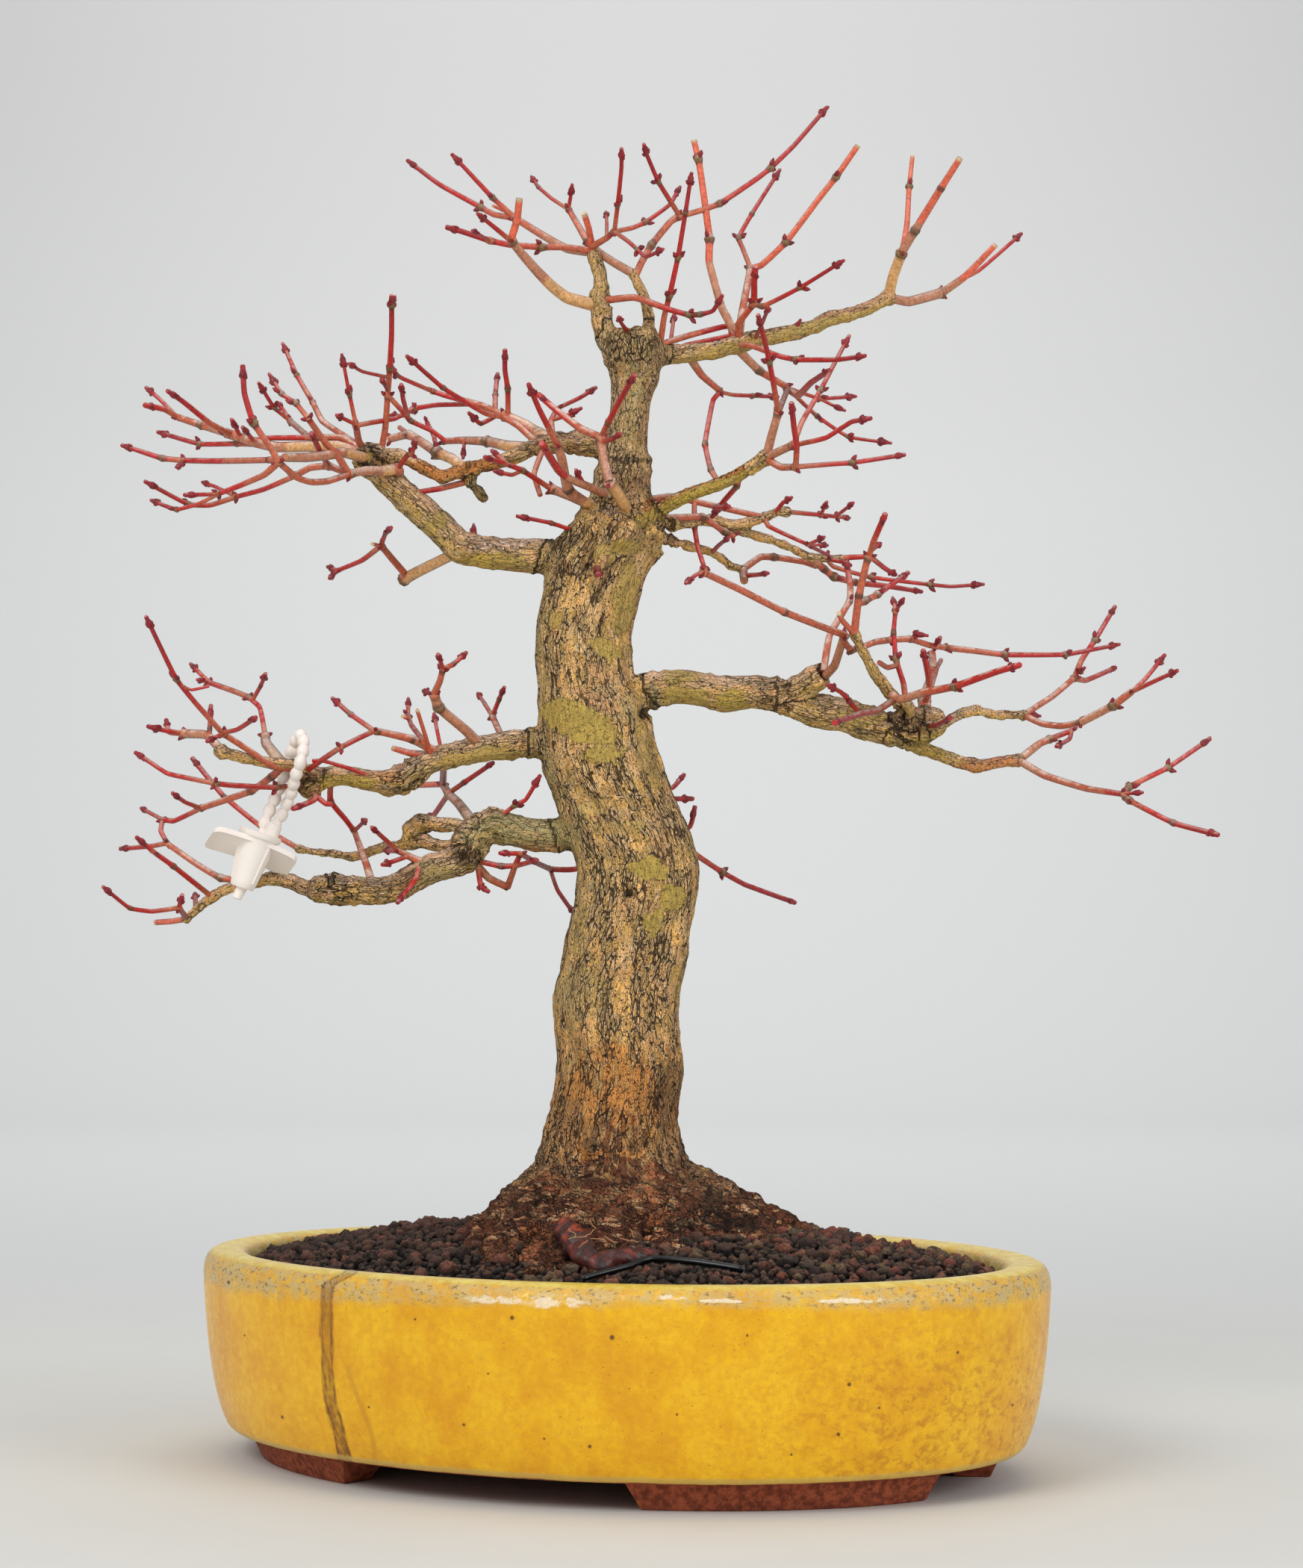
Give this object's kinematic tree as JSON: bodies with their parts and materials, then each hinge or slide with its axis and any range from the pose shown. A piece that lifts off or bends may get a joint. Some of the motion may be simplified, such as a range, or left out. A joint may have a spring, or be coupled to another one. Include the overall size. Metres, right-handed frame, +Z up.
{
  "type": "katsura japanese maple bonsai",
  "caption": "Leafless winter maple bonsai with a thick curved trunk and a fan of fine budded shoots, in an oval glazed pot on low feet, filled with grit.",
  "frame": {"origin": "on the surface the feet stand on, under the middle of the whole plant seen from above", "axes": "+Z up along the trunk, -Y towards the viewer of the tree's front, +X to the right as seen from the front"},
  "size_m": [0.387, 0.2546, 0.4863],
  "materials": {
    "tree": "matt bark, glossy red young shoots",
    "pot": "golden glazed stoneware, bare feet",
    "soil": "loose dark grit",
    "tie_wire": "black",
    "tag": "satin white",
    "screen_left": "black",
    "screen_right": "black"
  },
  "bodies": {
    "root": {"tree": "tree", "pot": "pot", "soil": "soil", "tie_wire": "tie_wire", "tag": "tag", "screen_left": "screen_left", "screen_right": "screen_right"}
  },
  "joints": []
}
